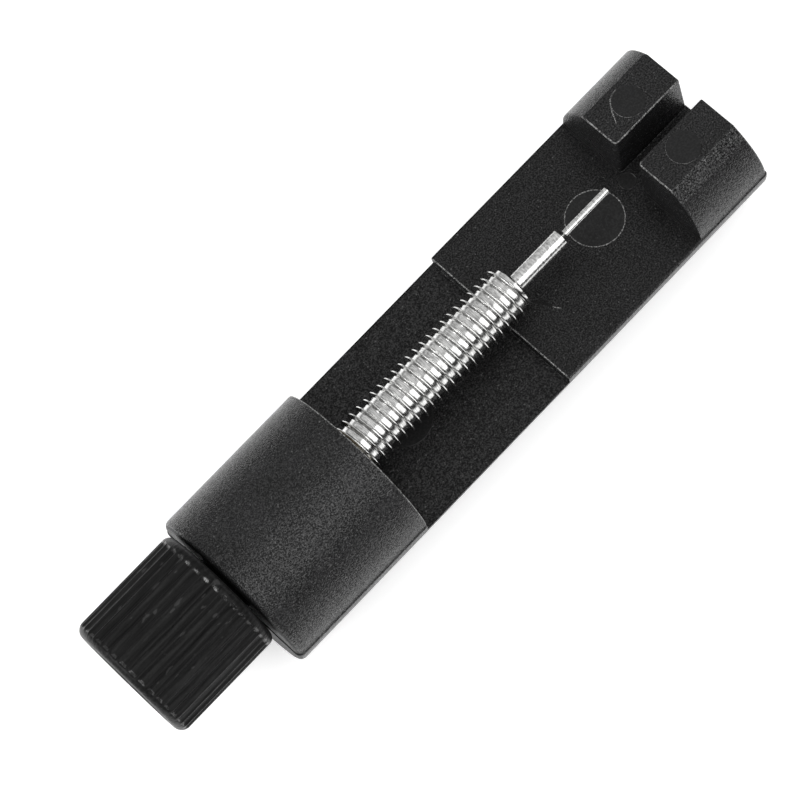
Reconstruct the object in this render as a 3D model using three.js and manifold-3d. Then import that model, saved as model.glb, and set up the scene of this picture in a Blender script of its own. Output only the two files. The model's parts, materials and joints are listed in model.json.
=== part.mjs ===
// Watch-band link-pin remover: a round moulded body with a screw-driven push pin and a pair of anvil posts.
// Millimetres, +Z up. +X points from the knob to the anvils. The origin is under the middle, on the base.

import * as THREE from 'three';
import { mergeVertices } from 'three/addons/utils/BufferGeometryUtils.js';
import Module from 'manifold-3d';

const wasm = await Module();
wasm.setup();

// ---- driving dimensions: the body ------------------------------------------------
// Stations along X are counted from the rear face of the housing.
const BODY_RADIUS = 9.75;
const BODY_LENGTH = 68.45;
const HOUSING_LENGTH = 18.3;
const STEP_STATION = 38.9;
const ANVIL_STATION = 58.55;
const BED_HEIGHT = 8.5; // raised bed above the base, level with the centre of the round body
const LOWER_BED_DROP = 1.4;
const ANVIL_HEIGHT = 7.5; // anvil tops above the raised bed
const SLOT_WIDTH = 3;
const END_DRAFT = 0.45; // lean of the far end face over the height of the anvils

// ---- driving dimensions: the feed screw, M6 x 1 right-hand ------------------------------------------------
const AXIS_HEIGHT = BED_HEIGHT + 4;
const PITCH = 1;
const CREST_RADIUS = 2.94;
const ROOT_RADIUS = 2.32;
const THREAD_FRACTIONS = [0, 0.12, 0.38, 0.74]; // crest start, crest end, root start, root end in one pitch
const THREAD_SEGMENTS = 16;
const THREAD_START = 3;
const THREAD_RUN_IN = 0.6; // length of the cone at the rear of the thread
const SCREW_END = 41.85;
const CHAMFER_LENGTH = 1.05; // front chamfer and dome together
const DOME_LENGTH = 0.45;
const DOME_RADIUS = 2.4;
const END_FACE_RADIUS = 1.25;
const SHANK_RADIUS = 2.6;

// ---- driving dimensions: the push pin ------------------------------------------------
const PIN_SHANK_RADIUS = 0.985;
const PIN_TIP_RADIUS = 0.4;
const PIN_SHANK_END = 48.5;
const PIN_TIP_START = 49;
const PIN_TIP_END = 55.3;
const PIN_PLUG_DEPTH = 7.5;
const PIN_CLEARANCE = 0.065;
const PIN_EDGE_BREAK = 0.1;

// ---- driving dimensions: the threaded insert ------------------------------------------------
const INSERT_LENGTH = 12.5;
const INSERT_RADIUS = 4.2;
const INSERT_GROOVE_RADIUS = 3.75;
const INSERT_GROOVE_LENGTH = 3;
const INSERT_SETBACK = 0.2; // front face behind the face of the housing
const THREAD_RADIAL_GAP = 0.1;
const THREAD_AXIAL_GAP = 0.08;

// ---- driving dimensions: the knob ------------------------------------------------
const KNOB_RADIUS = 7.35;
const KNOB_LENGTH = 13.2;
const KNOB_GAP = 0.3; // between knob and housing
const KNOB_FLUTES = 36;
const FLUTE_DEPTH = 0.4;
const LAND_SHARE = 0.3; // of a flute's or a spline's pitch, the part left at full radius
const SHOULDER = 1.1;
const SHOULDER_BULGE = 0.3; // share of the shoulder at which its rounding is widest
const DISH_RADIUS = 5.6;
const DISH_DEPTH = 0.5;
const SPLINE_TEETH = 12;
const SPLINE_RADIUS = 2.6;
const SPLINE_DEPTH = 0.3;
const SPLINE_LENGTH = 10.5;
const KNOB_MOUTH_DEPTH = 0.55; // round recess in the knob in front of its spline seat
const HUB_RADIUS = 3.1;
const HUB_LENGTH = 0.8; // hub on the knob's front face, which dips into the rear of the housing

const FIT_GAP = 0.05; // between pieces that are fixed to each other
const PASSAGE_GAP = 0.4; // round the screw where the housing only lets it through
const ROUND_SEGMENTS = 96;
const SMALL_SEGMENTS = 48;
const PIN_SEGMENTS = 24;
const OVERCUT = 5; // how far a cutter runs out past the body
const OVERLAP = 1; // how far joined or cut shapes run into each other
const SHANK_OVERLAP = 0.5;

const MIDDLE = (BODY_LENGTH - KNOB_GAP - KNOB_LENGTH) / 2;
const KNOB_REAR = -KNOB_GAP - KNOB_LENGTH;
const INSERT_FRONT = HOUSING_LENGTH - INSERT_SETBACK;
const INSERT_REAR = INSERT_FRONT - INSERT_LENGTH;

// ---- helpers ------------------------------------------------
const X = new THREE.Vector3(1, 0, 0);
const Y = new THREE.Vector3(0, 1, 0);
const Z = new THREE.Vector3(0, 0, 1);
const EXTRUDE_ALONG_X = new THREE.Matrix4().makeBasis(Y, Z, X);
const LATHE_ABOUT_X = new THREE.Matrix4().makeBasis(Y, X, Z.clone().negate());

function toSolid(geometry) {
  geometry.deleteAttribute('normal');
  geometry.deleteAttribute('uv');
  const merged = mergeVertices(geometry, 1e-4);
  const vertProperties = new Float32Array(merged.attributes.position.array);
  const triVerts = new Uint32Array(merged.index.array);
  return new wasm.Manifold(new wasm.Mesh({ numProp: 3, vertProperties, triVerts }));
}

function toMesh(name, solid, material) {
  const { vertProperties, triVerts } = solid.getMesh();
  const geometry = new THREE.BufferGeometry();
  geometry.setAttribute('position', new THREE.BufferAttribute(vertProperties, 3));
  geometry.setIndex(new THREE.BufferAttribute(triVerts, 1));
  geometry.computeVertexNormals();
  const mesh = new THREE.Mesh(geometry, material);
  mesh.name = name;
  return mesh;
}

// A box between two corners.
function box(xMin, xMax, yMin, yMax, zMin, zMax) {
  const geometry = new THREE.BoxGeometry(xMax - xMin, yMax - yMin, zMax - zMin);
  geometry.translate((xMin + xMax) / 2, (yMin + yMax) / 2, (zMin + zMax) / 2);
  return toSolid(geometry);
}

// A closed outline in the YZ plane, drawn out along X from one station to another.
function prism(outline, xMin, xMax) {
  const settings = { depth: xMax - xMin, bevelEnabled: false };
  const geometry = new THREE.ExtrudeGeometry(new THREE.Shape(outline), settings);
  geometry.applyMatrix4(EXTRUDE_ALONG_X);
  geometry.translate(xMin, 0, 0);
  return toSolid(geometry);
}

// A turned shape about the screw's axis. Profile entries are [station, radius], from the rear to the front.
function turned(profile, segments = SMALL_SEGMENTS) {
  const [first] = profile[0];
  const [last] = profile[profile.length - 1];
  const points = [[first, 0], ...profile, [last, 0]].map(([x, r]) => new THREE.Vector2(r, x));
  const geometry = new THREE.LatheGeometry(points, segments);
  geometry.applyMatrix4(LATHE_ABOUT_X);
  geometry.translate(0, 0, AXIS_HEIGHT);
  return toSolid(geometry);
}

// A bar with straight V grooves round it, about the screw's axis.
function grooved(count, radius, depth, land, xMin, xMax) {
  const outline = [];
  for (let i = 0; i < count; i += 1) {
    for (const [turn, r] of [[-land / 2, radius], [land / 2, radius], [0.5, radius - depth]]) {
      const angle = (2 * Math.PI * (i + turn)) / count;
      outline.push(new THREE.Vector2(r * Math.cos(angle), AXIS_HEIGHT + r * Math.sin(angle)));
    }
  }
  return prism(outline, xMin, xMax);
}

// A right-hand threaded bar about the screw's axis. A thread grown by gaps is the cavity it runs in.
// The grid follows the helix: each turn has one row per point of the thread profile, and the last column of a
// turn is the first column of the next one.
function threaded(xMin, xMax, radialGap = 0, axialGap = 0) {
  const [crestStart, crestEnd, rootStart, rootEnd] = THREAD_FRACTIONS;
  const rows = [
    { at: crestStart - axialGap / PITCH, r: CREST_RADIUS + radialGap },
    { at: crestEnd + axialGap / PITCH, r: CREST_RADIUS + radialGap },
    { at: rootStart + axialGap / PITCH, r: ROOT_RADIUS + radialGap },
    { at: rootEnd - axialGap / PITCH, r: ROOT_RADIUS + radialGap },
  ];
  const firstTurn = Math.floor(xMin / PITCH) - 2;
  const turns = Math.ceil(xMax / PITCH) + 2 - firstTurn;
  const lastRow = turns * rows.length;
  const positions = [];
  const lookup = new Map();
  for (let row = 0; row <= lastRow + rows.length; row += 1) {
    const columns = row <= lastRow ? THREAD_SEGMENTS : 1;
    for (let column = 0; column < columns; column += 1) {
      const { at, r } = rows[row % rows.length];
      const turn = column / THREAD_SEGMENTS;
      const x = PITCH * (firstTurn + Math.floor(row / rows.length) + at + turn);
      const angle = 2 * Math.PI * turn;
      lookup.set(`${row},${column}`, positions.length / 3);
      positions.push(x, r * Math.cos(angle), AXIS_HEIGHT + r * Math.sin(angle));
    }
  }
  const vertex = (row, column) => (
    column === THREAD_SEGMENTS ? lookup.get(`${row + rows.length},0`) : lookup.get(`${row},${column}`)
  );
  const rearCentre = positions.length / 3;
  positions.push(PITCH * (firstTurn - 1), 0, AXIS_HEIGHT);
  const frontCentre = rearCentre + 1;
  positions.push(PITCH * (firstTurn + turns + 2), 0, AXIS_HEIGHT);

  const triangles = [];
  for (let row = 0; row < lastRow; row += 1) {
    for (let column = 0; column < THREAD_SEGMENTS; column += 1) {
      const a = vertex(row, column);
      const b = vertex(row, column + 1);
      const c = vertex(row + 1, column + 1);
      const d = vertex(row + 1, column);
      triangles.push(a, b, c, a, c, d);
    }
  }
  for (let column = 0; column < THREAD_SEGMENTS; column += 1) {
    triangles.push(rearCentre, vertex(0, column + 1), vertex(0, column));
    triangles.push(frontCentre, vertex(lastRow, column), vertex(lastRow, column + 1));
  }
  for (let row = 0; row < rows.length; row += 1) {
    triangles.push(rearCentre, vertex(row, 0), vertex(row + 1, 0));
    triangles.push(frontCentre, vertex(lastRow + row + 1, 0), vertex(lastRow + row, 0));
  }
  const geometry = new THREE.BufferGeometry();
  geometry.setAttribute('position', new THREE.Float32BufferAttribute(positions, 3));
  geometry.setIndex(triangles);
  const reach = CREST_RADIUS + OVERLAP;
  return toSolid(geometry).intersect(turned([[xMin, reach], [xMax, reach]]));
}

// ---- the pieces ------------------------------------------------
const blackPlastic = new THREE.MeshStandardMaterial({ color: 0x26272b, roughness: 0.55, metalness: 0 });
const knobPlastic = new THREE.MeshStandardMaterial({ color: 0x1b1c1f, roughness: 0.42, metalness: 0 });
const platedSteel = new THREE.MeshStandardMaterial({ color: 0xc4c6c8, roughness: 0.25, metalness: 1 });
const insertBrass = new THREE.MeshStandardMaterial({ color: 0xb59a58, roughness: 0.35, metalness: 1 });

// The round section with its flat base, from the rear face to the far end.
function roundBar() {
  const halfBase = Math.sqrt(BODY_RADIUS ** 2 - BED_HEIGHT ** 2);
  const start = Math.atan2(-BED_HEIGHT, halfBase);
  const sweep = Math.PI - 2 * start;
  const outline = [];
  for (let i = 0; i <= ROUND_SEGMENTS; i += 1) {
    const angle = start + (sweep * i) / ROUND_SEGMENTS;
    const height = BED_HEIGHT + BODY_RADIUS * Math.sin(angle);
    outline.push(new THREE.Vector2(BODY_RADIUS * Math.cos(angle), Math.max(height, 0)));
  }
  return prism(outline, 0, BODY_LENGTH);
}

// What leans off the far end: a wedge above the raised bed, widest at the anvil tops.
function endWedge() {
  const top = BED_HEIGHT + ANVIL_HEIGHT + OVERCUT;
  const lean = END_DRAFT * ((top - BED_HEIGHT) / ANVIL_HEIGHT);
  const side = new THREE.Shape([
    new THREE.Vector2(BODY_LENGTH, BED_HEIGHT),
    new THREE.Vector2(BODY_LENGTH + OVERCUT, BED_HEIGHT),
    new THREE.Vector2(BODY_LENGTH + OVERCUT, top),
    new THREE.Vector2(BODY_LENGTH - lean, top),
  ]);
  const geometry = new THREE.ExtrudeGeometry(side, { depth: 4 * BODY_RADIUS, bevelEnabled: false });
  geometry.rotateX(Math.PI / 2);
  geometry.translate(0, 2 * BODY_RADIUS, 0);
  return toSolid(geometry);
}

// The turned outside of the threaded insert, grown by a gap where it is the seat in the housing.
function insertOutside(gap = 0) {
  const middle = (INSERT_REAR + INSERT_FRONT) / 2;
  const half = INSERT_GROOVE_LENGTH / 2;
  return [
    [INSERT_REAR - gap, INSERT_RADIUS + gap],
    [middle - half + gap, INSERT_RADIUS + gap],
    [middle - half + gap, INSERT_GROOVE_RADIUS + gap],
    [middle + half - gap, INSERT_GROOVE_RADIUS + gap],
    [middle + half - gap, INSERT_RADIUS + gap],
    [INSERT_FRONT + gap, INSERT_RADIUS + gap],
  ];
}

function makeToolBody() {
  const wide = 2 * BODY_RADIUS;
  const high = BED_HEIGHT + wide;
  const lowerBed = box(HOUSING_LENGTH, STEP_STATION, -wide, wide, BED_HEIGHT - LOWER_BED_DROP, high);
  const raisedBed = box(STEP_STATION - OVERLAP, ANVIL_STATION, -wide, wide, BED_HEIGHT, high);
  const anvilRear = ANVIL_STATION - OVERLAP;
  const end = BODY_LENGTH + OVERCUT;
  const overAnvils = box(anvilRear, end, -wide, wide, BED_HEIGHT + ANVIL_HEIGHT, high);
  const halfSlot = SLOT_WIDTH / 2;
  const slot = box(anvilRear, end, -halfSlot, halfSlot, BED_HEIGHT, high);
  const passage = CREST_RADIUS + PASSAGE_GAP;
  const seat = insertOutside(FIT_GAP);
  seat.push([HOUSING_LENGTH + OVERLAP, INSERT_RADIUS + FIT_GAP]);
  return roundBar()
    .subtract(lowerBed)
    .subtract(raisedBed)
    .subtract(overAnvils)
    .subtract(slot)
    .subtract(endWedge())
    .subtract(turned([[-OVERCUT, passage], [INSERT_REAR + OVERLAP, passage]]))
    .subtract(turned(seat));
}

function makeThreadedInsert() {
  const cavity = threaded(INSERT_REAR - OVERLAP, INSERT_FRONT + OVERLAP, THREAD_RADIAL_GAP, THREAD_AXIAL_GAP);
  return turned(insertOutside()).subtract(cavity);
}

function makeFeedScrew() {
  const clear = CREST_RADIUS + THREAD_RADIAL_GAP;
  const envelope = turned([
    [THREAD_START, ROOT_RADIUS],
    [THREAD_START + THREAD_RUN_IN, clear],
    [SCREW_END - CHAMFER_LENGTH, clear],
    [SCREW_END - DOME_LENGTH, DOME_RADIUS],
    [SCREW_END, END_FACE_RADIUS],
  ]);
  const thread = threaded(THREAD_START, SCREW_END).intersect(envelope);
  const front = -KNOB_GAP;
  const shank = turned([[front - SHANK_OVERLAP, SHANK_RADIUS], [THREAD_START + SHANK_OVERLAP, SHANK_RADIUS]]);
  const spline = grooved(
    SPLINE_TEETH, SPLINE_RADIUS, SPLINE_DEPTH, LAND_SHARE, front - SPLINE_LENGTH, front - SHANK_OVERLAP / 2,
  );
  const boreRadius = PIN_SHANK_RADIUS + PIN_CLEARANCE;
  const boreEnd = SCREW_END - PIN_PLUG_DEPTH - SHANK_OVERLAP;
  const bore = turned([[boreEnd, boreRadius], [SCREW_END + OVERLAP, boreRadius]], PIN_SEGMENTS);
  return thread.add(shank).add(spline).subtract(bore);
}

function makePushPin() {
  const plugEnd = SCREW_END - PIN_PLUG_DEPTH;
  return turned([
    [plugEnd, PIN_SHANK_RADIUS - PIN_EDGE_BREAK],
    [plugEnd + PIN_EDGE_BREAK, PIN_SHANK_RADIUS],
    [PIN_SHANK_END, PIN_SHANK_RADIUS],
    [PIN_TIP_START, PIN_TIP_RADIUS],
    [PIN_TIP_END - PIN_EDGE_BREAK, PIN_TIP_RADIUS],
    [PIN_TIP_END, PIN_TIP_RADIUS - PIN_EDGE_BREAK],
  ], PIN_SEGMENTS);
}

function makeThumbKnob() {
  const front = -KNOB_GAP;
  const clear = KNOB_RADIUS + FIT_GAP;
  const edge = SHOULDER_BULGE * SHOULDER;
  const shoulders = turned([
    [KNOB_REAR, KNOB_RADIUS - SHOULDER],
    [KNOB_REAR + edge, KNOB_RADIUS - edge],
    [KNOB_REAR + SHOULDER, clear],
    [front - SHOULDER, clear],
    [front - edge, KNOB_RADIUS - edge],
    [front, KNOB_RADIUS - SHOULDER],
  ], KNOB_FLUTES);
  const dish = turned([
    [KNOB_REAR - OVERLAP, DISH_RADIUS],
    [KNOB_REAR, DISH_RADIUS],
    [KNOB_REAR + DISH_DEPTH, DISH_RADIUS - DISH_DEPTH],
  ]);
  const seatRadius = SPLINE_RADIUS + FIT_GAP;
  const seatEnd = front - SPLINE_LENGTH - FIT_GAP;
  const seat = grooved(SPLINE_TEETH, seatRadius, SPLINE_DEPTH, LAND_SHARE, seatEnd, front + OVERLAP);
  const mouth = turned([[front - KNOB_MOUTH_DEPTH, seatRadius], [front + OVERLAP, seatRadius]]);
  const hub = turned([[front - KNOB_MOUTH_DEPTH, HUB_RADIUS], [front + HUB_LENGTH, HUB_RADIUS]]);
  return grooved(KNOB_FLUTES, KNOB_RADIUS, FLUTE_DEPTH, LAND_SHARE, KNOB_REAR, front)
    .intersect(shoulders)
    .add(hub)
    .subtract(dish)
    .subtract(seat)
    .subtract(mouth);
}

const group = new THREE.Group();
group.add(toMesh('tool_body', makeToolBody(), blackPlastic));
group.add(toMesh('threaded_insert', makeThreadedInsert(), insertBrass));
group.add(toMesh('feed_screw', makeFeedScrew(), platedSteel));
group.add(toMesh('push_pin', makePushPin(), platedSteel));
group.add(toMesh('thumb_knob', makeThumbKnob(), knobPlastic));
for (const piece of group.children) {
  piece.position.x = -MIDDLE;
}

export default group;
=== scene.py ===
import json
import math
from collections import namedtuple

import bmesh
import bpy
from mathutils import Matrix, Vector, noise


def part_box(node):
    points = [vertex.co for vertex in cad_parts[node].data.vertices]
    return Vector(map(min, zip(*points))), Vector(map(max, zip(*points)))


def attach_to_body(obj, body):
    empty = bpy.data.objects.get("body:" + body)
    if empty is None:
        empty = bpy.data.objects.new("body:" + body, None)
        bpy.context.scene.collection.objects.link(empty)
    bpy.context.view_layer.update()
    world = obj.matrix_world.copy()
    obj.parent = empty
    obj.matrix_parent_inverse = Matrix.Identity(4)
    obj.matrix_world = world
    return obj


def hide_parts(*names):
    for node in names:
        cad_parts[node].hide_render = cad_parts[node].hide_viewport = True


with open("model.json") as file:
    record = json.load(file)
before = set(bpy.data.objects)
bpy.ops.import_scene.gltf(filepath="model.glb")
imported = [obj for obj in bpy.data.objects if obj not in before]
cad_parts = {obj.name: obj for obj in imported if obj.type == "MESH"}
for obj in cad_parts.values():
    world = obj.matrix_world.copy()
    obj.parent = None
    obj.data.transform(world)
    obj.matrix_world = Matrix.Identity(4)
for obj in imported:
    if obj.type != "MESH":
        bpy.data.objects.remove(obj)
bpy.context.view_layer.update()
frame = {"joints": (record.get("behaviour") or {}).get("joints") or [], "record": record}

# The looks of a watch-band link-pin remover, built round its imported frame. Lengths below are in millimetres in
# the frame's axes: +X from the knob to the anvils, +Y to the left and +Z up. Blender holds them in metres.
MM = 0.001


def corners(node):
    """Lowest and highest corner of a frame node, in millimetres."""
    low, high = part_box(node)
    return low / MM, high / MM


def place_of(name, listed):
    """Position of a mount or joint, in millimetres, found by its name in a list of them."""
    found = next(item for item in listed if item["name"] == name)
    return Vector(found["pos_m"]) / MM


# ---- places read from the frame ------------------------------------------------
BODY_LOW, BODY_HIGH = corners("tool_body")
KNOB_LOW, KNOB_HIGH = corners("thumb_knob")
SCREW_LOW, SCREW_HIGH = corners("feed_screw")
PIN_LOW, PIN_HIGH = corners("push_pin")
INSERT_LOW, INSERT_HIGH = corners("threaded_insert")
AXIS = place_of("screw_turn", frame["joints"]).z  # height of the screw's axis
LOWER_BED = place_of("lower_bed", frame["record"]["mounts"]).z
ANVIL_FACE = place_of("left_anvil_face", frame["record"]["mounts"]).x

# ---- sizes of the body ------------------------------------------------
REAR = BODY_LOW.x
END = BODY_HIGH.x
RADIUS = BODY_HIGH.y
BED = BODY_HIGH.z - RADIUS  # the raised bed lies at the height of the round body's own axis
HOUSING_FRONT = REAR + 18.3
STEP = REAR + 38.9
ANVIL_TOP = BED + 7.5
HALF_SLOT = 1.5
END_LEAN = 0.45  # how far the anvils' far faces lean back at their tops
END_REACH = 1.5  # the far faces and their rims lie within this of the end
REAR_ROUND = 0.7
END_ROUND = 0.3
ANVIL_CORNER = 0.45
SLOT_MOUTH_CORNER = 0.4
SLOT_MOUTH_REACH = 0.15  # the slot's mouth is rounded about corners this far past the end
CORNER_STEPS = 4
EDGE_BREAK = 0.13  # width of the rounding on every sharp edge
EDGE_BREAK_ANGLE = 25  # edges sharper than this many degrees are broken
PARTING_DROP = 0.1  # the mould's halves meet this far below the raised bed
PARTING_LEDGE = 0.1  # the upper half is this much smaller all round
SEAT_GAP = 0.05  # round the threaded insert and behind it
PASSAGE_RADIUS = 3.34
WIDE = RADIUS + 1  # half width of a cutter that reaches past both sides
OVERCUT = 1.0  # how far a cutter starts outside the face it cuts
FAR = 40.0  # how far a cutter reaches past the piece

# ---- marks left on the body by its mould ------------------------------------------------
Mark = namedtuple("Mark", "x y z radius")
RINGS = [
    Mark(ANVIL_FACE - 5.35, 0.1, BED, 3.1),
    Mark(ANVIL_FACE - 0.15, 0.4, BED, 0.9),
    Mark(STEP - 14.0, 0.4, LOWER_BED, 3.1),
]
DISCS = [
    Mark(ANVIL_FACE + 4.3, 3.8, ANVIL_TOP, 1.75),
    Mark(ANVIL_FACE + 4.3, -3.7, ANVIL_TOP, 1.8),
]
MARK_SEGMENTS = 72
RING_HALF_WIDTH = 0.055
RING_CREST = 0.015  # half width of a ring's flat crest
RING_HEIGHT = 0.03
RING_FOOT = 0.3  # how deep a ring is rooted in the face
DISC_HEIGHT = 0.025
DISC_FOOT = 0.5
RIDGE_FOOT = 0.2
RIDGE_END_SHARE = 0.25  # height and width of a ridge at its ends
Ridge = namedtuple("Ridge", "path z half_width height")
FLASH_LINE = Ridge([
    (ANVIL_FACE + 2.6, 4.6), (ANVIL_FACE + 2.3, 4.1), (ANVIL_FACE + 2.1, 3.6), (ANVIL_FACE + 1.7, 3.0),
], ANVIL_TOP, 0.07, 0.05)
FLASH_ARC_RADIUS = 1.85
FLASH_ARC_ANGLES = (2.95, 2.6, 2.2, 1.8, 1.45)
FLASH_ARC = Ridge([
    (DISCS[0].x + FLASH_ARC_RADIUS * math.cos(a), DISCS[0].y + FLASH_ARC_RADIUS * math.sin(a))
    for a in FLASH_ARC_ANGLES
], ANVIL_TOP, 0.06, 0.05)
FLOW_SCAR = Ridge([
    (STEP + 3.6, -1.3), (STEP + 4.0, -2.0), (STEP + 4.3, -2.6), (STEP + 4.5, -3.2), (STEP + 5.0, -4.0),
], BED, 0.16, 0.1)
COARSE_DROP = 1.3  # how far the coarse grain, with its stronger painted glints, reaches down the right anvil's side

# ---- how the faces of the finished body are told apart ------------------------------------------------
GRAINED, BED_FACE, TOP_FACE, SMOOTH, PAINTED_HIGHLIGHT, PAINTED_SHADE, COARSE = range(7)
LEVEL = 0.99  # a level face's normal has more than this of Z
SAME_HEIGHT = 0.02
NEAR_EDGE = 0.2
EDGE_AREA = 12  # in square millimetres; a larger face isn't a broken edge
HIGHLIGHT_EDGE_END = END - 1.2  # the anvils' edges get a painted highlight up to here
HIGHLIGHT_MOUTH_HEIGHT = BED + 0.5  # the housing's front rim gets a painted highlight above this
FLASH_SIDE = (2.0, 5.9)  # the flash line and arc lie between these, across the left anvil
FLASH_END = DISCS[0].x + 1
COARSE_SIDE = -4.5  # the right anvil's coarse grain lies outside this
SCAR_START = STEP + 3.0
SCAR_END = STEP + 5.2
SCAR_HEIGHT = BED + 0.04
SCAR_HIGHLIGHT_SIDE = -3.6  # the flow scar gets a painted highlight outside this and painted shade inside it

# ---- sizes of the steel pieces and the insert ------------------------------------------------
PITCH = 1.0
CREST_RADIUS = 2.94
ROOT_RADIUS = 2.32
CREST_SHIFT = 0.62  # on the screw's +Y side a crest lies this many pitches past a whole number from the rear
THREAD_START = REAR + 3.0
THREAD_CLEARANCE = 0.1  # radial, between the screw and its insert
SHANK_RADIUS = 2.6
SPLINE_COUNT = 12
SPLINE_DEPTH = 0.28
BORE_RADIUS = 1.05
BORE_MOUTH_RADIUS = BORE_RADIUS + 0.3
PIN_RADIUS = 0.985
PIN_TIP_RADIUS = 0.4
PIN_SHANK_END = REAR + 48.5
PIN_TIP_START = REAR + 49.0
KNURL_COUNT = 40
KNURL_DEPTH = 0.25
GROOVE_DEPTH = 0.45
GROOVE_HALF_WIDTH = 1.45

# ---- sizes of the knob ------------------------------------------------
HUB_LENGTH = 0.8
HUB_RADIUS = 3.1
KNOB_FRONT = KNOB_HIGH.x - HUB_LENGTH
KNOB_FLUTES = 36
FLUTE_DEPTH = 0.24
FLUTE_SHARE = 0.9  # how much of each flute's pitch is hollow
FLUTE_UNEVENNESS = 0.6  # how much the flutes' depths differ
FLUTE_WANDER = 0.05  # how far a flute strays sideways, as a share of its pitch
REAR_SHOULDER = 1.1
FRONT_SHOULDER = 0.85
RUN_OUT = 0.46  # the flutes run out over this length before the front shoulder
RUN_IN = 0.55  # the flutes begin this far from the rear face
RUN_IN_LENGTH = 0.4
DISH_RADIUS = 5.6
DISH_DEPTH = 0.5
DISH_WALL = 0.8  # how much smaller the dish's radius is at its bottom
KNOB_EDGE = 0.1
SEAT_EDGE = 0.05  # the seat's edge and its gap round the screw's tail

# ---- how finely round shapes are made ------------------------------------------------
BODY_SEGMENTS = 256
ROUND_SEGMENTS = 96
THREAD_SEGMENTS = 72
GROOVE_STEPS = 6
COLUMNS_PER_FLUTE = 16
KNOB_ROWS = 90


# ---- mesh helpers ------------------------------------------------
def solid(name, points, faces):
    """A closed mesh object from points in millimetres, with its faces turned outwards."""
    mesh = bpy.data.meshes.new(name)
    mesh.from_pydata([Vector(p) * MM for p in points], [], faces)
    work = bmesh.new()
    work.from_mesh(mesh)
    bmesh.ops.remove_doubles(work, verts=work.verts, dist=1e-7)
    bmesh.ops.recalc_face_normals(work, faces=work.faces)
    work.to_mesh(mesh)
    work.free()
    made = bpy.data.objects.new(name, mesh)
    bpy.context.scene.collection.objects.link(made)
    return made


def revolved(name, profile, place, segments):
    """Turns a profile about a line, by place(x, r, angle). An end that isn't on the line is capped."""
    points, faces, rings = [], [], []
    for along, radius in profile:
        count = segments if radius > 0 else 1
        rings.append(range(len(points), len(points) + count))
        points += [place(along, radius, 2 * math.pi * k / segments) for k in range(count)]
    for first, second in zip(rings, rings[1:]):
        for k in range(segments):
            ring = [first[k % len(first)], first[(k + 1) % len(first)]]
            ring += [second[(k + 1) % len(second)], second[k % len(second)]]
            faces.append(list(dict.fromkeys(ring)))
    faces += [list(rings[0]), list(rings[-1])]
    return solid(name, points, [f for f in faces if len(f) > 2])


def turned(name, profile, height=AXIS, segments=ROUND_SEGMENTS):
    """A turned solid about the X line at that height."""
    def place(x, r, angle):
        return (x, r * math.sin(angle), height + r * math.cos(angle))

    return revolved(name, profile, place, segments)


def prism(name, outline, low, high, place):
    """An outline of (u, v) drawn out between two depths w, by place(u, v, w)."""
    count = len(outline)
    points = [place(u, v, low) for u, v in outline] + [place(u, v, high) for u, v in outline]
    faces = [list(range(count)), list(range(count, 2 * count))]
    faces += [[k, (k + 1) % count, count + (k + 1) % count, count + k] for k in range(count)]
    return solid(name, points, faces)


def upright(name, outline, low, high):
    """An XY outline drawn out along Z."""
    return prism(name, outline, low, high, lambda u, v, w: (u, v, w))


def box(name, low, high):
    outline = [(low[0], low[1]), (high[0], low[1]), (high[0], high[1]), (low[0], high[1])]
    return upright(name, outline, low[2], high[2])


def filleted(outline):
    """An outline of (x, y, radius) corners with each corner rounded to its radius."""
    points = []
    for k, (x, y, radius) in enumerate(outline):
        here = Vector((x, y))
        if not radius:
            points.append(here)
            continue
        back = (Vector(outline[k - 1][:2]) - here).normalized()
        ahead = (Vector(outline[(k + 1) % len(outline)][:2]) - here).normalized()
        half = back.angle(ahead) / 2
        centre = here + (back + ahead).normalized() * radius / math.sin(half)
        first = here + back * radius / math.tan(half) - centre
        turn = math.copysign(math.pi - 2 * half, ahead.cross(back))
        turns = [turn * step / CORNER_STEPS for step in range(CORNER_STEPS + 1)]
        points += [centre + Matrix.Rotation(angle, 2) @ first for angle in turns]
    return points


def arc(centre, radius, start, end, steps):
    """Points (x, r) on an arc between two angles, in degrees from +X towards +r."""
    angles = [math.radians(start + (end - start) * k / steps) for k in range(steps + 1)]
    return [(centre[0] + radius * math.cos(a), centre[1] + radius * math.sin(a)) for a in angles]


def bake_modifiers(target):
    """Replaces the object's mesh by the one its modifiers make."""
    graph = bpy.context.evaluated_depsgraph_get()
    made = bpy.data.meshes.new_from_object(target.evaluated_get(graph))
    target.modifiers.clear()
    target.data = made


def combine(target, tool, operation="DIFFERENCE", solver="EXACT"):
    """Cuts, joins or intersects target with tool, and removes tool."""
    modifier = target.modifiers.new(operation, "BOOLEAN")
    modifier.operation = operation
    modifier.solver = solver
    modifier.object = tool
    bake_modifiers(target)
    bpy.data.objects.remove(tool)
    return target


def break_edges(target):
    """Rounds every sharp edge a little."""
    modifier = target.modifiers.new("edge break", "BEVEL")
    modifier.width = EDGE_BREAK * MM
    modifier.segments = 2
    modifier.use_clamp_overlap = False
    modifier.limit_method = "ANGLE"
    modifier.angle_limit = math.radians(EDGE_BREAK_ANGLE)
    bake_modifiers(target)


def keep_within(target, low, high):
    """Draws in the vertices that the broken edges leave outside the node's box."""
    for vertex in target.data.vertices:
        vertex.co = [min(max(here, least * MM), most * MM) for here, least, most in zip(vertex.co, low, high)]


def shade(target, sharp=35):
    """Smooth faces with sharp edges above an angle, and normals that keep the large flats flat."""
    work = bmesh.new()
    work.from_mesh(target.data)
    for face in work.faces:
        face.smooth = True
    for edge in work.edges:
        edge.smooth = len(edge.link_faces) == 2 and edge.calc_face_angle(0) < math.radians(sharp)
    work.to_mesh(target.data)
    work.free()
    modifier = target.modifiers.new("flat faces", "WEIGHTED_NORMAL")
    modifier.keep_sharp = True
    modifier.weight = 100
    bake_modifiers(target)


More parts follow.
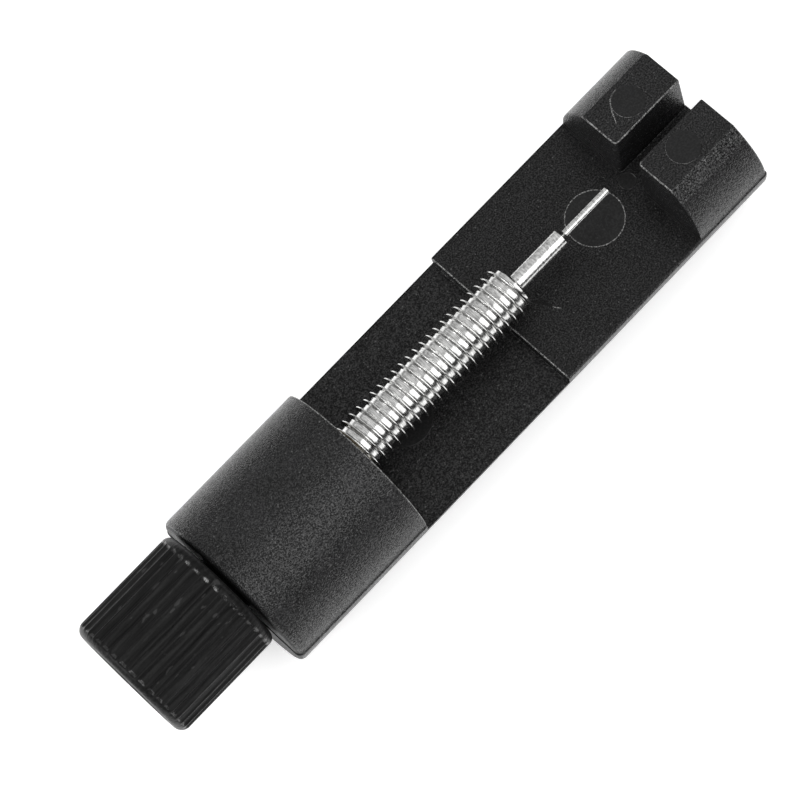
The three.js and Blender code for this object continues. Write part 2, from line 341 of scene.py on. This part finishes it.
def attach(piece, body, node, slot, *materials):
    """Puts a finished piece on its body in place of its frame node."""
    piece.data.materials.clear()
    for material in materials:
        piece.data.materials.append(material)
    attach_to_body(piece, body)
    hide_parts(node)


# ---- material helpers ------------------------------------------------
MIX_INPUTS = (0, 6, 7)  # the colour mix node's factor, first and second colour
MIX_RESULT = 2


class Shader:
    """A node tree being built: node() adds a node, sets its inputs and links what is itself a socket."""

    def __init__(self, name):
        self.material = bpy.data.materials.new(name)
        self.material.use_nodes = True
        self.tree = self.material.node_tree
        self.tree.nodes.clear()

    def node(self, kind, settings=None, **inputs):
        made = self.tree.nodes.new(kind)
        for key, value in (settings or {}).items():
            setattr(made, key, value)
        for key, value in inputs.items():
            self.feed(made.inputs[key.replace("_", " ")], value)
        return made

    def place(self, stretch=(1, 1, 1)):
        """Object coordinates in millimetres, stretched per axis."""
        coordinates = self.node("ShaderNodeTexCoord").outputs["Object"]
        scale = [s / MM for s in stretch]
        return self.node("ShaderNodeMapping", Vector=coordinates, Scale=scale).outputs["Vector"]

    def noise(self, vector, per_mm, detail, roughness=0.5):
        settings = {"Vector": vector, "Scale": per_mm, "Detail": detail, "Roughness": roughness}
        return self.node("ShaderNodeTexNoise", **settings).outputs["Fac"]

    def range(self, value, low, high, to_low, to_high):
        """Carries the value from one range over to another, and stops at its ends."""
        ends = {"From_Min": low, "From_Max": high, "To_Min": to_low, "To_Max": to_high}
        return self.node("ShaderNodeMapRange", Value=value, **ends).outputs["Result"]

    def feed(self, socket, value):
        """Links an input to a socket, or sets it to a plain value."""
        if isinstance(value, bpy.types.NodeSocket):
            self.tree.links.new(value, socket)
        else:
            socket.default_value = value

    def math(self, operation, *values):
        made = self.node("ShaderNodeMath", {"operation": operation})
        for socket, value in zip(made.inputs, values):
            self.feed(socket, value)
        return made.outputs[0]

    def blend(self, factor, first, second):
        """Mixes two colours, each a socket or an RGBA tuple."""
        mix = self.node("ShaderNodeMix", {"data_type": "RGBA"})
        for index, value in zip(MIX_INPUTS, (factor, first, second)):
            self.feed(mix.inputs[index], value)
        return mix.outputs[MIX_RESULT]

    def tint(self, factor, dark, light):
        """Mixes two plain colours."""
        return self.blend(factor, (*dark, 1), (*light, 1))

    def bump(self, height, depth):
        """A bump whose full height is depth millimetres."""
        return self.node("ShaderNodeBump", Height=height, Distance=depth * MM).outputs["Normal"]

    def finish(self, **inputs):
        """Closes the tree with a surface shader and gives the material."""
        surface = self.node("ShaderNodeBsdfPrincipled", **inputs)
        output = self.node("ShaderNodeOutputMaterial", Surface=surface.outputs["BSDF"])
        output.is_active_output = True
        return self.material


PLASTIC_IOR = 1.5


def grey(level):
    return (level, level, level)


def moulded_plastic(name, tone, roughness, grain, depth, speckle, specular):
    """Black moulded plastic with a spark-eroded grain. grain is its wavelength and depth its height; speckle is
    how much more the tips shine than the ground, and how pale the painted glints of the grain's tips are."""
    shader = Shader(name)
    place = shader.place()
    drift = shader.range(shader.noise(place, 0.35, 3), 0.3, 0.7, 0, 1)
    fine = shader.noise(place, 1 / grain, 1, 0.5)
    shine = shader.range(fine, 0.38, 0.72, specular * (1 - 0.6 * speckle), specular * (1 + 1.4 * speckle))
    # pale specks painted into the colour: painted glints of the grain's tips, as under grazing light
    spots = shader.noise(place, 0.62 / grain, 1, 0.5)
    specks = shader.range(spots, 0.69, 0.75, 0, 1)
    colour = shader.tint(drift, grey(0.85 * tone), (1.15 * tone, 1.15 * tone, 1.2 * tone))
    specked_colour = shader.blend(specks, colour, (*grey(0.06 * speckle), 1))
    gloss = shader.range(drift, 0, 1, roughness - 0.03, roughness + 0.03)
    return shader.finish(
        Base_Color=specked_colour, Roughness=gloss, IOR=PLASTIC_IOR, Specular_IOR_Level=shine,
        Normal=shader.bump(fine, depth),
    )


def streaked_plastic(name, tone, roughness, specular):
    """Black plastic drawn out along X, with faint streaks, a few nicks and a very fine grain."""
    shader = Shader(name)
    streaks = shader.noise(shader.place((0.07, 1, 1)), 3.2, 3, 0.65)
    fine = shader.noise(shader.place(), 5.5, 2, 0.6)
    nicks = shader.range(shader.noise(shader.place((0.5, 1, 1)), 1.6, 1, 0.5), 0.68, 0.74, 0, 1)
    height = shader.math("ADD", shader.math("MULTIPLY", streaks, 0.8), shader.math("MULTIPLY", fine, 0.2))
    shine = shader.range(height, 0.36, 0.64, 0.45 * specular, 1.7 * specular)
    colour = shader.tint(streaks, grey(0.7 * tone), grey(1.3 * tone))
    specked_colour = shader.blend(nicks, colour, (*grey(0.03), 1))
    gloss = shader.range(streaks, 0.3, 0.7, roughness - 0.05, roughness + 0.05)
    return shader.finish(
        Base_Color=specked_colour, Roughness=gloss, IOR=PLASTIC_IOR, Specular_IOR_Level=shine,
        Normal=shader.bump(height, 0.08),
    )


def painted_light_plastic(name, pale, dark, specular):
    """Plastic in patches between two colours, for painted highlights along edges and for painted shade."""
    shader = Shader(name)
    place = shader.place()
    patches = shader.noise(place, 5.5, 2, 0.7)
    colour = shader.tint(shader.range(patches, 0.42, 0.64, 0, 1), dark, pale)
    return shader.finish(
        Base_Color=colour, Roughness=shader.range(patches, 0.3, 0.7, 0.32, 0.48), IOR=PLASTIC_IOR,
        Specular_IOR_Level=specular, Normal=shader.bump(patches, 0.08),
    )


def turned_steel(name, roughness, ring_depth, ring_size, breaks):
    """Bright steel with fine rings round the X axis left by the lathe or the rolling dies, and light smears.
    breaks is how often a ring breaks off on its way round."""
    shader = Shader(name)
    rings = shader.noise(shader.place((1, breaks, breaks)), 1 / ring_size, 2, 0.6)
    smears = shader.noise(shader.place((1.6, 0.7, 0.7)), 2.2, 3, 0.6)
    tint = shader.range(shader.math("MULTIPLY", rings, smears), 0.12, 0.36, 0, 1)
    colour = shader.tint(tint, (0.36, 0.36, 0.355), (0.8, 0.8, 0.79))
    gloss = shader.range(smears, 0.3, 0.75, roughness - 0.06, roughness + 0.1)
    return shader.finish(
        Base_Color=colour, Metallic=1.0, Roughness=gloss, Normal=shader.bump(rings, ring_depth),
    )


def dull_brass():
    """Brass turned and then stained."""
    shader = Shader("dull_brass")
    rings = shader.noise(shader.place((1, 0.1, 0.1)), 9, 3)
    stain = shader.noise(shader.place(), 0.9, 4)
    colour = shader.tint(shader.range(stain, 0.3, 0.7, 0, 1), (0.20, 0.17, 0.12), (0.34, 0.29, 0.20))
    return shader.finish(
        Base_Color=colour, Metallic=1.0, Roughness=shader.range(stain, 0.3, 0.7, 0.26, 0.42),
        Normal=shader.bump(rings, 0.004),
    )


# ---- the body ------------------------------------------------
def bar_profile(inset):
    """The round bar's outline (x, r), drawn in by inset, with its rear and far rims rounded."""
    rear, far, side = REAR + inset, END - inset, RADIUS - inset
    rim = arc((rear + REAR_ROUND, side - REAR_ROUND), REAR_ROUND, 180, 90, 8)
    return rim + arc((far - END_ROUND, side - END_ROUND), END_ROUND, 90, 0, 5)


def cut_above_beds(body):
    """Clears the space over the beds and the slot between the anvils, and rounds the anvils' upright edges."""
    mouth = END + SLOT_MOUTH_REACH
    half = [
        (HOUSING_FRONT, -WIDE, 0),
        (ANVIL_FACE, -WIDE, 0),
        (ANVIL_FACE, -HALF_SLOT, ANVIL_CORNER),
        (mouth, -HALF_SLOT, SLOT_MOUTH_CORNER),
        (mouth, -WIDE, 0),
        (END + FAR, -WIDE, 0),
    ]
    outline = filleted(half + [(x, -y, r) for x, y, r in reversed(half)])
    combine(body, upright("over_beds", outline, BED, FAR))
    low = (HOUSING_FRONT, -WIDE, LOWER_BED)
    combine(body, box("over_lower_bed", low, (STEP, WIDE, BED + OVERCUT)))
    combine(body, box("over_anvils", (ANVIL_FACE - 2 * OVERCUT, -WIDE, ANVIL_TOP), (END + FAR, WIDE, FAR)))


def lean_end(body):
    """Leans the far faces of the anvils back towards their tops."""
    for vertex in body.data.vertices:
        x, _, z = vertex.co / MM
        if x > END - END_REACH and z > BED:
            vertex.co.x -= END_LEAN * (z - BED) / (ANVIL_TOP - BED) * MM


def cut_bores(body):
    """The passage for the screw, and the seat of the threaded insert."""
    seat = INSERT_HIGH.z - AXIS + SEAT_GAP
    passage = [(REAR - OVERCUT, PASSAGE_RADIUS), (INSERT_LOW.x + OVERCUT, PASSAGE_RADIUS)]
    combine(body, turned("passage", passage))
    combine(body, turned("seat", [(INSERT_LOW.x - SEAT_GAP, seat), (HOUSING_FRONT + OVERCUT, seat)]))


def cut_parting_ledge(body):
    """Makes the upper mould half a little smaller than the lower one, which leaves a ledge all round."""
    low = (REAR - OVERCUT, -WIDE, BED - PARTING_DROP)
    skin = box("skin", low, (END + OVERCUT, WIDE, BODY_HIGH.z + OVERCUT))
    core = turned("core", bar_profile(PARTING_LEDGE), BED, BODY_SEGMENTS)
    combine(body, combine(skin, core))


def ring_band(name, x, y, section):
    """A closed band round a vertical line: its section is a loop of (radius, z)."""
    points, faces = [], []
    for radius, z in section:
        for k in range(MARK_SEGMENTS):
            angle = 2 * math.pi * k / MARK_SEGMENTS
            points.append((x + radius * math.cos(angle), y + radius * math.sin(angle), z))
    for ring in range(len(section)):
        here, following = ring * MARK_SEGMENTS, (ring + 1) % len(section) * MARK_SEGMENTS
        for k in range(MARK_SEGMENTS):
            ahead = (k + 1) % MARK_SEGMENTS
            faces.append([here + k, here + ahead, following + ahead, following + k])
    return solid(name, points, faces)


def raise_ring(body, mark):
    """A fine raised line round a circle on a level face."""
    foot, crest = mark.z - RING_FOOT, mark.z + RING_HEIGHT
    outer, inner = mark.radius + RING_HALF_WIDTH, mark.radius - RING_HALF_WIDTH
    section = [(outer, foot), (outer, mark.z), (mark.radius + RING_CREST, crest)]
    section += [(mark.radius - RING_CREST, crest), (inner, mark.z), (inner, foot)]
    combine(body, ring_band("ring", mark.x, mark.y, section), "UNION")


def raise_disc(body, mark):
    """A low disc with a steep edge, where an ejector pin stood back in the mould."""
    def place(at, r, angle):
        return (mark.x + r * math.cos(angle), mark.y + r * math.sin(angle), mark.z + at)

    profile = [(-DISC_FOOT, 0), (-DISC_FOOT, mark.radius), (0, mark.radius)]
    profile += [(DISC_HEIGHT, mark.radius - 0.02), (DISC_HEIGHT, 0)]
    combine(body, revolved("disc", profile, place, MARK_SEGMENTS), "UNION")


def raise_ridge(body, ridge):
    """A low ridge along a path of (x, y), thinning out at both ends."""
    points, faces = [], []
    path, z = ridge.path, ridge.z
    last = len(path) - 1
    for k, here in enumerate(path):
        ahead = Vector(path[min(k + 1, last)]) - Vector(path[max(k - 1, 0)])
        across = Vector((-ahead.y, ahead.x)).normalized()
        share = RIDGE_END_SHARE + (1 - RIDGE_END_SHARE) * math.sin(math.pi * k / last)
        left = Vector(here) + across * ridge.half_width * share
        right = Vector(here) - across * ridge.half_width * share
        crest = z + ridge.height * share
        points += [(*left, z - RIDGE_FOOT), (*left, z), (*here, crest), (*right, z), (*right, z - RIDGE_FOOT)]
    size = len(points) // len(path)
    for k in range(last):
        for j in range(size):
            start, side = size * k, (j + 1) % size
            faces.append([start + j, start + side, start + size + side, start + size + j])
    faces += [list(range(size)), list(range(size * last, size * last + size))]
    combine(body, solid("ridge", points, faces), "UNION")


def close(value, other, slack):
    return abs(value - other) < slack


def mark_material(mesh, polygon):
    """The material of a face that belongs to a ring or disc, or None."""
    middle = polygon.center / MM
    seen = [mesh.vertices[v].co / MM for v in polygon.vertices]
    for mark in RINGS + DISCS:
        reach = max(math.hypot(p.x - mark.x, p.y - mark.y) for p in seen)
        if close(middle.z, mark.z, 0.08) and reach < mark.radius + 0.1:
            on_line = close(math.hypot(middle.x - mark.x, middle.y - mark.y), mark.radius, 0.07)
            # the rings' rims, and the discs' rims on their rear halves, get a pale painted highlight
            rim = on_line and (mark in RINGS or middle.x < mark.x)
            shown = mark.radius > 1 and mark.z > LOWER_BED
            return PAINTED_HIGHLIGHT if rim and shown else SMOOTH
    return None


def on_highlit_edge(middle):
    """Whether a broken edge between two faces is one of those given a painted highlight."""
    x, y, z = middle
    near_face = -NEAR_EDGE < x - ANVIL_FACE < 0.5
    anvil = close(z, ANVIL_TOP, NEAR_EDGE) and (near_face or close(y, HALF_SLOT, 0.25))
    step = close(x, STEP, NEAR_EDGE) and close(z, BED, 0.16)
    rim = close(x, HOUSING_FRONT, NEAR_EDGE) and close(math.hypot(y, z - BED), RADIUS, 0.25)
    return anvil and x < HIGHLIGHT_EDGE_END or step or rim and z > HIGHLIGHT_MOUTH_HEIGHT


def slope_material(polygon):
    """The material of a face that isn't level."""
    middle = polygon.center / MM
    x, y, z = middle
    # painted shade on the rear face and its rim, so they stay dark where the gap to the knob shows them
    if polygon.normal.x < -0.5 and x < REAR + 0.3:
        return PAINTED_SHADE
    # small faces on these broken edges get a pale painted highlight
    if polygon.area / MM ** 2 < EDGE_AREA and on_highlit_edge(middle):
        return PAINTED_HIGHLIGHT
    # the flash line and arc get a pale painted highlight
    if close(z, ANVIL_TOP, 0.1) and FLASH_SIDE[0] < y < FLASH_SIDE[1] and x < FLASH_END:
        return PAINTED_HIGHLIGHT
    if x > ANVIL_FACE and y < COARSE_SIDE and z > ANVIL_TOP - COARSE_DROP:
        return COARSE
    # painted shade in the inner corner at the foot of the anvils' near faces
    if close(x, ANVIL_FACE, 0.15) and close(z, BED, 0.15):
        return PAINTED_SHADE
    # the flow scar: painted highlight on its outer side, painted shade on its inner side
    if close(z, SCAR_HEIGHT, 0.07) and SCAR_START < x < SCAR_END:
        return PAINTED_HIGHLIGHT if y < SCAR_HIGHLIGHT_SIDE else PAINTED_SHADE
    return GRAINED


def level_material(polygon):
    """The material of a level face."""
    height = polygon.center.z / MM
    if close(height, ANVIL_TOP, SAME_HEIGHT):
        return TOP_FACE
    on_bed = close(height, BED, SAME_HEIGHT) or close(height, LOWER_BED, SAME_HEIGHT)
    return BED_FACE if on_bed else GRAINED


def choose_material(mesh, polygon):
    """Which material a face of the finished body shows."""
    marked = mark_material(mesh, polygon)
    if marked is not None:
        return marked
    return level_material(polygon) if polygon.normal.z > LEVEL else slope_material(polygon)


def body_materials():
    """The body's materials, in the order of GRAINED to COARSE."""
    return [
        moulded_plastic(
            "grained_black_plastic",
            tone=0.0105, roughness=0.26, grain=0.16, depth=0.075, speckle=1.2, specular=0.25,
        ),
        moulded_plastic(
            "bed_black_plastic",
            tone=0.0055, roughness=0.3, grain=0.16, depth=0.05, speckle=1.1, specular=0.225,
        ),
        moulded_plastic(
            "anvil_top_black_plastic",
            tone=0.0065, roughness=0.3, grain=0.16, depth=0.06, speckle=1.1, specular=0.26,
        ),
        moulded_plastic(
            "witness_mark_plastic",
            tone=0.0055, roughness=0.36, grain=0.2, depth=0.005, speckle=0.25, specular=0.28,
        ),
        # painted highlight on edges, ring rims, the flash line and the scar's outer side
        painted_light_plastic("painted_highlight_plastic", pale=(0.32, 0.32, 0.315), dark=grey(0.008), specular=0.4),
        # painted shade on the rear face, the anvils' feet and the scar's inner side
        painted_light_plastic("shaded_black_plastic", pale=grey(0.008), dark=grey(0.004), specular=0.15),
        moulded_plastic(
            "coarse_black_plastic",
            tone=0.01, roughness=0.27, grain=0.17, depth=0.12, speckle=1.8, specular=0.36,
        ),
    ]


def make_body():
    body = turned("moulded_tool_body", bar_profile(0), BED, BODY_SEGMENTS)
    combine(body, box("under_base", (REAR - OVERCUT, -RADIUS, -FAR), (END + OVERCUT, RADIUS, 0)))
    cut_parting_ledge(body)
    cut_above_beds(body)
    lean_end(body)
    cut_bores(body)
    break_edges(body)
    keep_within(body, BODY_LOW, BODY_HIGH)
    for mark in RINGS:
        raise_ring(body, mark)
    for mark in DISCS:
        raise_disc(body, mark)
    for ridge in (FLASH_LINE, FLASH_ARC, FLOW_SCAR):
        raise_ridge(body, ridge)
    shade(body)
    attach(body, "frame_body", "tool_body", "body_plastic", *body_materials())
    for polygon in body.data.polygons:
        polygon.material_index = choose_material(body.data, polygon)


# ---- threads ------------------------------------------------
def thread_profile(growth):
    """One pitch of the rolled thread as (distance from the crest's middle in pitches, radius). The growth, in
    millimetres, makes it larger all round for a cavity."""
    half = [
        (0.035, CREST_RADIUS),
        (0.062, CREST_RADIUS - 0.015),
        (0.08, CREST_RADIUS - 0.045),
        (0.092, CREST_RADIUS - 0.1),
        (0.118, ROOT_RADIUS + 0.17),
        (0.14, ROOT_RADIUS + 0.085),
        (0.18, ROOT_RADIUS + 0.035),
        (0.28, ROOT_RADIUS + 0.008),
        (0.44, ROOT_RADIUS),
    ]
    grown = [(at + growth / 3, r + growth) for at, r in half]
    return [(-at, r) for at, r in reversed(grown)] + grown


def threaded(name, start, end, growth=0.0):
    """A right-hand threaded bar about the screw's axis that reaches a turn or more past start and end. Its rows
    follow the helix: the last column of a turn joins the first column of the next one."""
    rows = thread_profile(growth)
    first = math.floor((start - REAR) / PITCH) - 2
    turns = math.ceil((end - REAR) / PITCH) + 2 - first
    last = turns * len(rows)
    points, index, faces = [], {}, []
    for row in range(last + len(rows) + 1):
        for column in range(THREAD_SEGMENTS if row <= last else 1):
            at, radius = rows[row % len(rows)]
            turn = column / THREAD_SEGMENTS
            angle = 2 * math.pi * turn
            index[row, column] = len(points)
            x = REAR + PITCH * (first + row // len(rows) + at + CREST_SHIFT + turn)
            points.append((x, radius * math.cos(angle), AXIS + radius * math.sin(angle)))
    for row in range(last + 1):
        index[row, THREAD_SEGMENTS] = index[row + len(rows), 0]
    for row in range(last):
        for column in range(THREAD_SEGMENTS):
            ring = [index[row, column], index[row, column + 1]]
            faces.append(ring + [index[row + 1, column + 1], index[row + 1, column]])
    rear, front = len(points), len(points) + 1
    points.append((REAR + PITCH * (first - 2), 0, AXIS))
    points.append((REAR + PITCH * (first + turns + 3), 0, AXIS))
    for column in range(THREAD_SEGMENTS):
        faces.append([rear, index[0, column], index[0, column + 1]])
        faces.append([front, index[last, column], index[last, column + 1]])
    for row in range(len(rows)):
        faces.append([rear, index[row, 0], index[row + 1, 0]])
        faces.append([front, index[last + row, 0], index[last + row + 1, 0]])
    return solid(name, points, faces)


def grooved(name, count, radius, depth, start, end):
    """A bar with round-bottomed grooves along it."""
    outline = []
    for k in range(count * GROOVE_STEPS):
        share = (k % GROOVE_STEPS) / GROOVE_STEPS
        r = radius - depth * math.sin(math.pi * share) ** 2
        angle = 2 * math.pi * k / (count * GROOVE_STEPS)
        outline.append((r * math.cos(angle), AXIS + r * math.sin(angle)))
    return prism(name, outline, start, end, lambda u, v, w: (w, u, v))


def make_screw():
    end = SCREW_HIGH.x
    screw = threaded("steel_feed_screw", THREAD_START, end)
    envelope = turned("envelope", [
        (THREAD_START, ROOT_RADIUS),
        (THREAD_START + 0.6, CREST_RADIUS + 0.1),
        (end - 1.05, CREST_RADIUS + 0.1),
        (end - 0.45, 2.4),
        (end - 0.2, 2.15),
        (end - 0.05, 1.75),
        (end, 1.3),
    ])
    combine(screw, envelope, "INTERSECT", "MANIFOLD")
    shank = turned("shank", [(KNOB_FRONT - 0.5, SHANK_RADIUS), (THREAD_START + 0.5, SHANK_RADIUS)])
    combine(screw, shank, "UNION", "MANIFOLD")
    spline_end = KNOB_FRONT - 0.25
    spline = grooved("spline", SPLINE_COUNT, SHANK_RADIUS - 0.02, SPLINE_DEPTH, SCREW_LOW.x, spline_end)
    combine(screw, spline, "UNION", "MANIFOLD")
    bore = turned("bore", [
        (PIN_LOW.x - 0.5, BORE_RADIUS),
        (end - 0.25, BORE_RADIUS),
        (end + 0.05, BORE_MOUTH_RADIUS),
        (end + OVERCUT, BORE_MOUTH_RADIUS),
    ])
    combine(screw, bore, "DIFFERENCE", "MANIFOLD")
    shade(screw, 40)
    plating = turned_steel("plated_steel", roughness=0.15, ring_depth=0.02, ring_size=0.1, breaks=0.07)
    attach(screw, "spindle", "feed_screw", "plated_steel", plating)


def make_pin():
    start, end = PIN_LOW.x, PIN_HIGH.x
    pin = turned("steel_push_pin", [
        (start, PIN_RADIUS - 0.1),
        (start + 0.1, PIN_RADIUS),
        (PIN_SHANK_END - 0.06, PIN_RADIUS),
        (PIN_SHANK_END, PIN_RADIUS - 0.06),
        (PIN_TIP_START - 0.05, PIN_TIP_RADIUS + 0.05),
        (PIN_TIP_START, PIN_TIP_RADIUS),
        (end - 0.05, PIN_TIP_RADIUS),
        (end, PIN_TIP_RADIUS - 0.05),
    ])
    shade(pin, 30)
    steel = turned_steel("turned_pin_steel", roughness=0.2, ring_depth=0.02, ring_size=0.2, breaks=0.45)
    attach(pin, "pusher", "push_pin", "pin_steel", steel)


def make_insert():
    low, high = INSERT_LOW.x, INSERT_HIGH.x
    outside = INSERT_HIGH.z - AXIS
    middle = (low + high) / 2
    groove = outside - GROOVE_DEPTH
    insert = grooved("brass_threaded_insert", KNURL_COUNT, outside, KNURL_DEPTH, low, high)
    combine(insert, turned("rounded_ends", [
        (low, outside - 0.4),
        (low + 0.4, outside),
        (middle - GROOVE_HALF_WIDTH - 0.05, outside),
        (middle - GROOVE_HALF_WIDTH, groove),
        (middle + GROOVE_HALF_WIDTH, groove),
        (middle + GROOVE_HALF_WIDTH + 0.05, outside),
        (high - 0.4, outside),
        (high, outside - 0.4),
    ]), "INTERSECT", "MANIFOLD")
    combine(insert, threaded("cavity", low, high, THREAD_CLEARANCE), "DIFFERENCE", "MANIFOLD")
    shade(insert, 30)
    attach(insert, "frame_body", "threaded_insert", "insert_brass", dull_brass())


# ---- the knob ------------------------------------------------
def flute_depth(turn, x):
    """Depth below the lands at a place round and along the knob, before any run-out."""
    number = math.floor(turn * KNOB_FLUTES) % KNOB_FLUTES
    uneven = 1 + FLUTE_UNEVENNESS * noise.noise(Vector((number * 1.7, 3.1, 0.4)))
    wander = FLUTE_WANDER * noise.noise(Vector((number * 2.3, 7.7, 0.12 * x)))
    across = abs((turn * KNOB_FLUTES) % 1 - 0.5 + wander) / (FLUTE_SHARE / 2)
    return FLUTE_DEPTH * uneven * max(0.0, 1 - across ** 2)


def smooth_step(value):
    share = min(1.0, max(0.0, value))
    return share * share * (3 - 2 * share)


def running_in(x):
    """How far the flutes have grown at a place in from the knob's rear, from 0 to 1."""
    return smooth_step((x - KNOB_LOW.x - RUN_IN) / RUN_IN_LENGTH)


def knob_rows():
    """The knob's half outline, from the middle of its rear dish to the bottom of its seat. A row is an x, a
    radius and a share of the flutes' depth."""
    rear, front, radius = KNOB_LOW.x, KNOB_FRONT, KNOB_HIGH.z - AXIS
    start, stop = rear + REAR_SHOULDER, front - FRONT_SHOULDER
    dish = rear + DISH_DEPTH
    rows = [(dish, 0, 0), (dish, DISH_RADIUS - DISH_WALL, 0), (rear, DISH_RADIUS, 0)]
    shoulder = arc((start, radius - REAR_SHOULDER), REAR_SHOULDER, 180, 90, 12)
    rows += [(x, r, running_in(x)) for x, r in shoulder]
    for k in range(1, KNOB_ROWS):
        x = start + (stop - start) * k / KNOB_ROWS
        rows.append((x, radius, smooth_step((stop - x) / RUN_OUT) * running_in(x)))
    rows += [(x, r, 0) for x, r in arc((stop, radius - FRONT_SHOULDER), FRONT_SHOULDER, 90, 0, 10)]
    end, seat, seat_end = KNOB_HIGH.x, SHANK_RADIUS + SEAT_EDGE, SCREW_LOW.x - SEAT_EDGE
    inside = [
        (front, HUB_RADIUS + KNOB_EDGE),
        (front + KNOB_EDGE, HUB_RADIUS),
        (end - KNOB_EDGE, HUB_RADIUS),
        (end, HUB_RADIUS - KNOB_EDGE),
        (end, seat + SEAT_EDGE),
        (end - SEAT_EDGE, seat),
        (seat_end, seat),
        (seat_end, 0),
    ]
    return rows + [(x, r, 0) for x, r in inside]


def make_knob():
    rows = knob_rows()

    def place(row, r, angle):
        x, _, share = rows[row]
        radius = r - share * flute_depth(angle / (2 * math.pi), x)
        return (x, radius * math.sin(angle), AXIS + radius * math.cos(angle))

    profile = [(k, r) for k, (_, r, _) in enumerate(rows)]
    knob = revolved("fluted_thumb_knob", profile, place, KNOB_FLUTES * COLUMNS_PER_FLUTE)
    shade(knob, 50)
    satin = streaked_plastic("satin_black_plastic", tone=0.0075, roughness=0.34, specular=0.085)
    polished = streaked_plastic("polished_black_plastic", tone=0.005, roughness=0.2, specular=0.5)
    attach(knob, "spindle", "thumb_knob", "knob_plastic", satin, polished)
    rear, stop = KNOB_LOW.x, KNOB_FRONT - FRONT_SHOULDER
    for polygon in knob.data.polygons:
        x, lean = polygon.center.x / MM, polygon.normal.x
        run_out = stop - RUN_OUT < x < stop and lean < -0.3
        run_in = rear + RUN_IN < x < rear + RUN_IN + RUN_IN_LENGTH and lean > 0.15
        polygon.material_index = 1 if run_out or run_in else 0


# ---- stage, light and camera ------------------------------------------------
FLOOR_REACH = 2000.0
FLOOR_NEAR = 66.0  # the painted pool of light on the floor is brightest up to this distance from the origin
FLOOR_DIM = 130.0  # and at its dimmest from this one on


def make_floor():
    """A plain pale floor with a painted pool of light round the tool: its colour and glow are brightest there.
    """
    outline = [(-1, -1), (1, -1), (1, 1), (-1, 1)]
    reach = FLOOR_REACH * MM
    mesh = bpy.data.meshes.new("floor")
    mesh.from_pydata([(x * reach, y * reach, 0) for x, y in outline], [], [range(len(outline))])
    floor = bpy.data.objects.new("floor", mesh)
    bpy.context.scene.collection.objects.link(floor)
    shader = Shader("white_floor")
    length = shader.node("ShaderNodeVectorMath", {"operation": "LENGTH"}, Vector=shader.place())
    near = shader.range(length.outputs["Value"], FLOOR_NEAR, FLOOR_DIM, 1, 0)
    # painted pool of light: paler colour and a glow near the tool, which wash out its shadows
    pool_colour = shader.tint(near, grey(0.4), grey(0.9))
    glow = shader.range(near, 0, 1, 0.02, 0.38)
    mesh.materials.append(shader.finish(
        Base_Color=pool_colour, Roughness=0.9, Emission_Color=(1, 1, 1, 1), Emission_Strength=glow,
    ))


def softbox(name, direction, distance, size, radiance):
    """A soft light in that direction from the origin, aimed at it. The size is (level width, height)."""
    towards = Vector(direction).normalized()
    light = bpy.data.lights.new(name, "AREA")
    light.shape = "RECTANGLE"
    light.size, light.size_y = size[0] * MM, size[1] * MM
    light.energy = radiance * math.pi * light.size * light.size_y
    lamp = bpy.data.objects.new(name, light)
    lamp.location = towards * distance * MM
    lamp.rotation_euler = towards.to_track_quat("Z", "Y").to_euler()
    bpy.context.scene.collection.objects.link(lamp)


STUDIO_BRIGHTEST = (0, 0.34, 0.94)
STUDIO_GRADE = {"From Min": 0.0, "From Max": 1.0, "To Min": 0.07, "To Max": 0.84}


def make_world():
    """A studio that is brightest overhead, a little to the left, and dark low down on the right."""
    world = bpy.data.worlds.new("studio")
    world.use_nodes = True
    tree = world.node_tree
    background = tree.nodes["Background"]
    background.inputs["Color"].default_value = (1, 1, 1, 1)
    direction = tree.nodes.new("ShaderNodeTexCoord").outputs["Generated"]
    facing = tree.nodes.new("ShaderNodeVectorMath")
    facing.operation = "DOT_PRODUCT"
    facing.inputs[1].default_value = STUDIO_BRIGHTEST
    grade = tree.nodes.new("ShaderNodeMapRange")
    for socket, value in STUDIO_GRADE.items():
        grade.inputs[socket].default_value = value
    tree.links.new(direction, facing.inputs[0])
    tree.links.new(facing.outputs["Value"], grade.inputs["Value"])
    tree.links.new(grade.outputs["Result"], background.inputs["Strength"])
    bpy.context.scene.world = world


def make_lights():
    make_world()
    softbox("key", direction=(0, -0.62, 0.79), distance=500, size=(520, 500), radiance=2.0)
    softbox("side", direction=(0, 0.96, 0.28), distance=600, size=(500, 160), radiance=0.2)
    softbox("rear", direction=(-0.88, 0.25, 0.45), distance=600, size=(420, 320), radiance=5.5)
    softbox("front", direction=(0.93, 0.0, 0.36), distance=600, size=(300, 250), radiance=2.7)


CAMERA_ANGLES = (-24.01, 70.78, -23.0)  # azimuth, elevation and roll in degrees
CAMERA_TARGET = Vector((-2.275, -0.03, 13.3))
CAMERA_DISTANCE = 326.7
CAMERA_LENS = 147.9
CAMERA_SENSOR = 36


def make_camera():
    """Looks down on the tool from its right-hand rear, turned so that the tool lies across the picture."""
    azimuth, elevation, roll = (math.radians(d) for d in CAMERA_ANGLES)
    level = math.cos(elevation)
    back = Vector((math.sin(azimuth) * level, -math.cos(azimuth) * level, math.sin(elevation)))
    flat_right = Vector((math.cos(azimuth), math.sin(azimuth), 0))
    flat_up = back.cross(flat_right)
    right = math.cos(roll) * flat_right + math.sin(roll) * flat_up
    up = back.cross(right)
    lens = bpy.data.cameras.new("camera")
    lens.lens = CAMERA_LENS
    lens.sensor_width = CAMERA_SENSOR
    lens.clip_start, lens.clip_end = 0.01, 10
    camera = bpy.data.objects.new("camera", lens)
    turn = Matrix((right, up, back)).transposed().to_4x4()
    camera.matrix_world = Matrix.Translation((CAMERA_TARGET + back * CAMERA_DISTANCE) * MM) @ turn
    bpy.context.scene.collection.objects.link(camera)
    bpy.context.scene.camera = camera


make_camera()
make_lights()
make_floor()
make_body()
make_screw()
make_pin()
make_insert()
make_knob()
bpy.context.scene.view_settings.view_transform = "Standard"
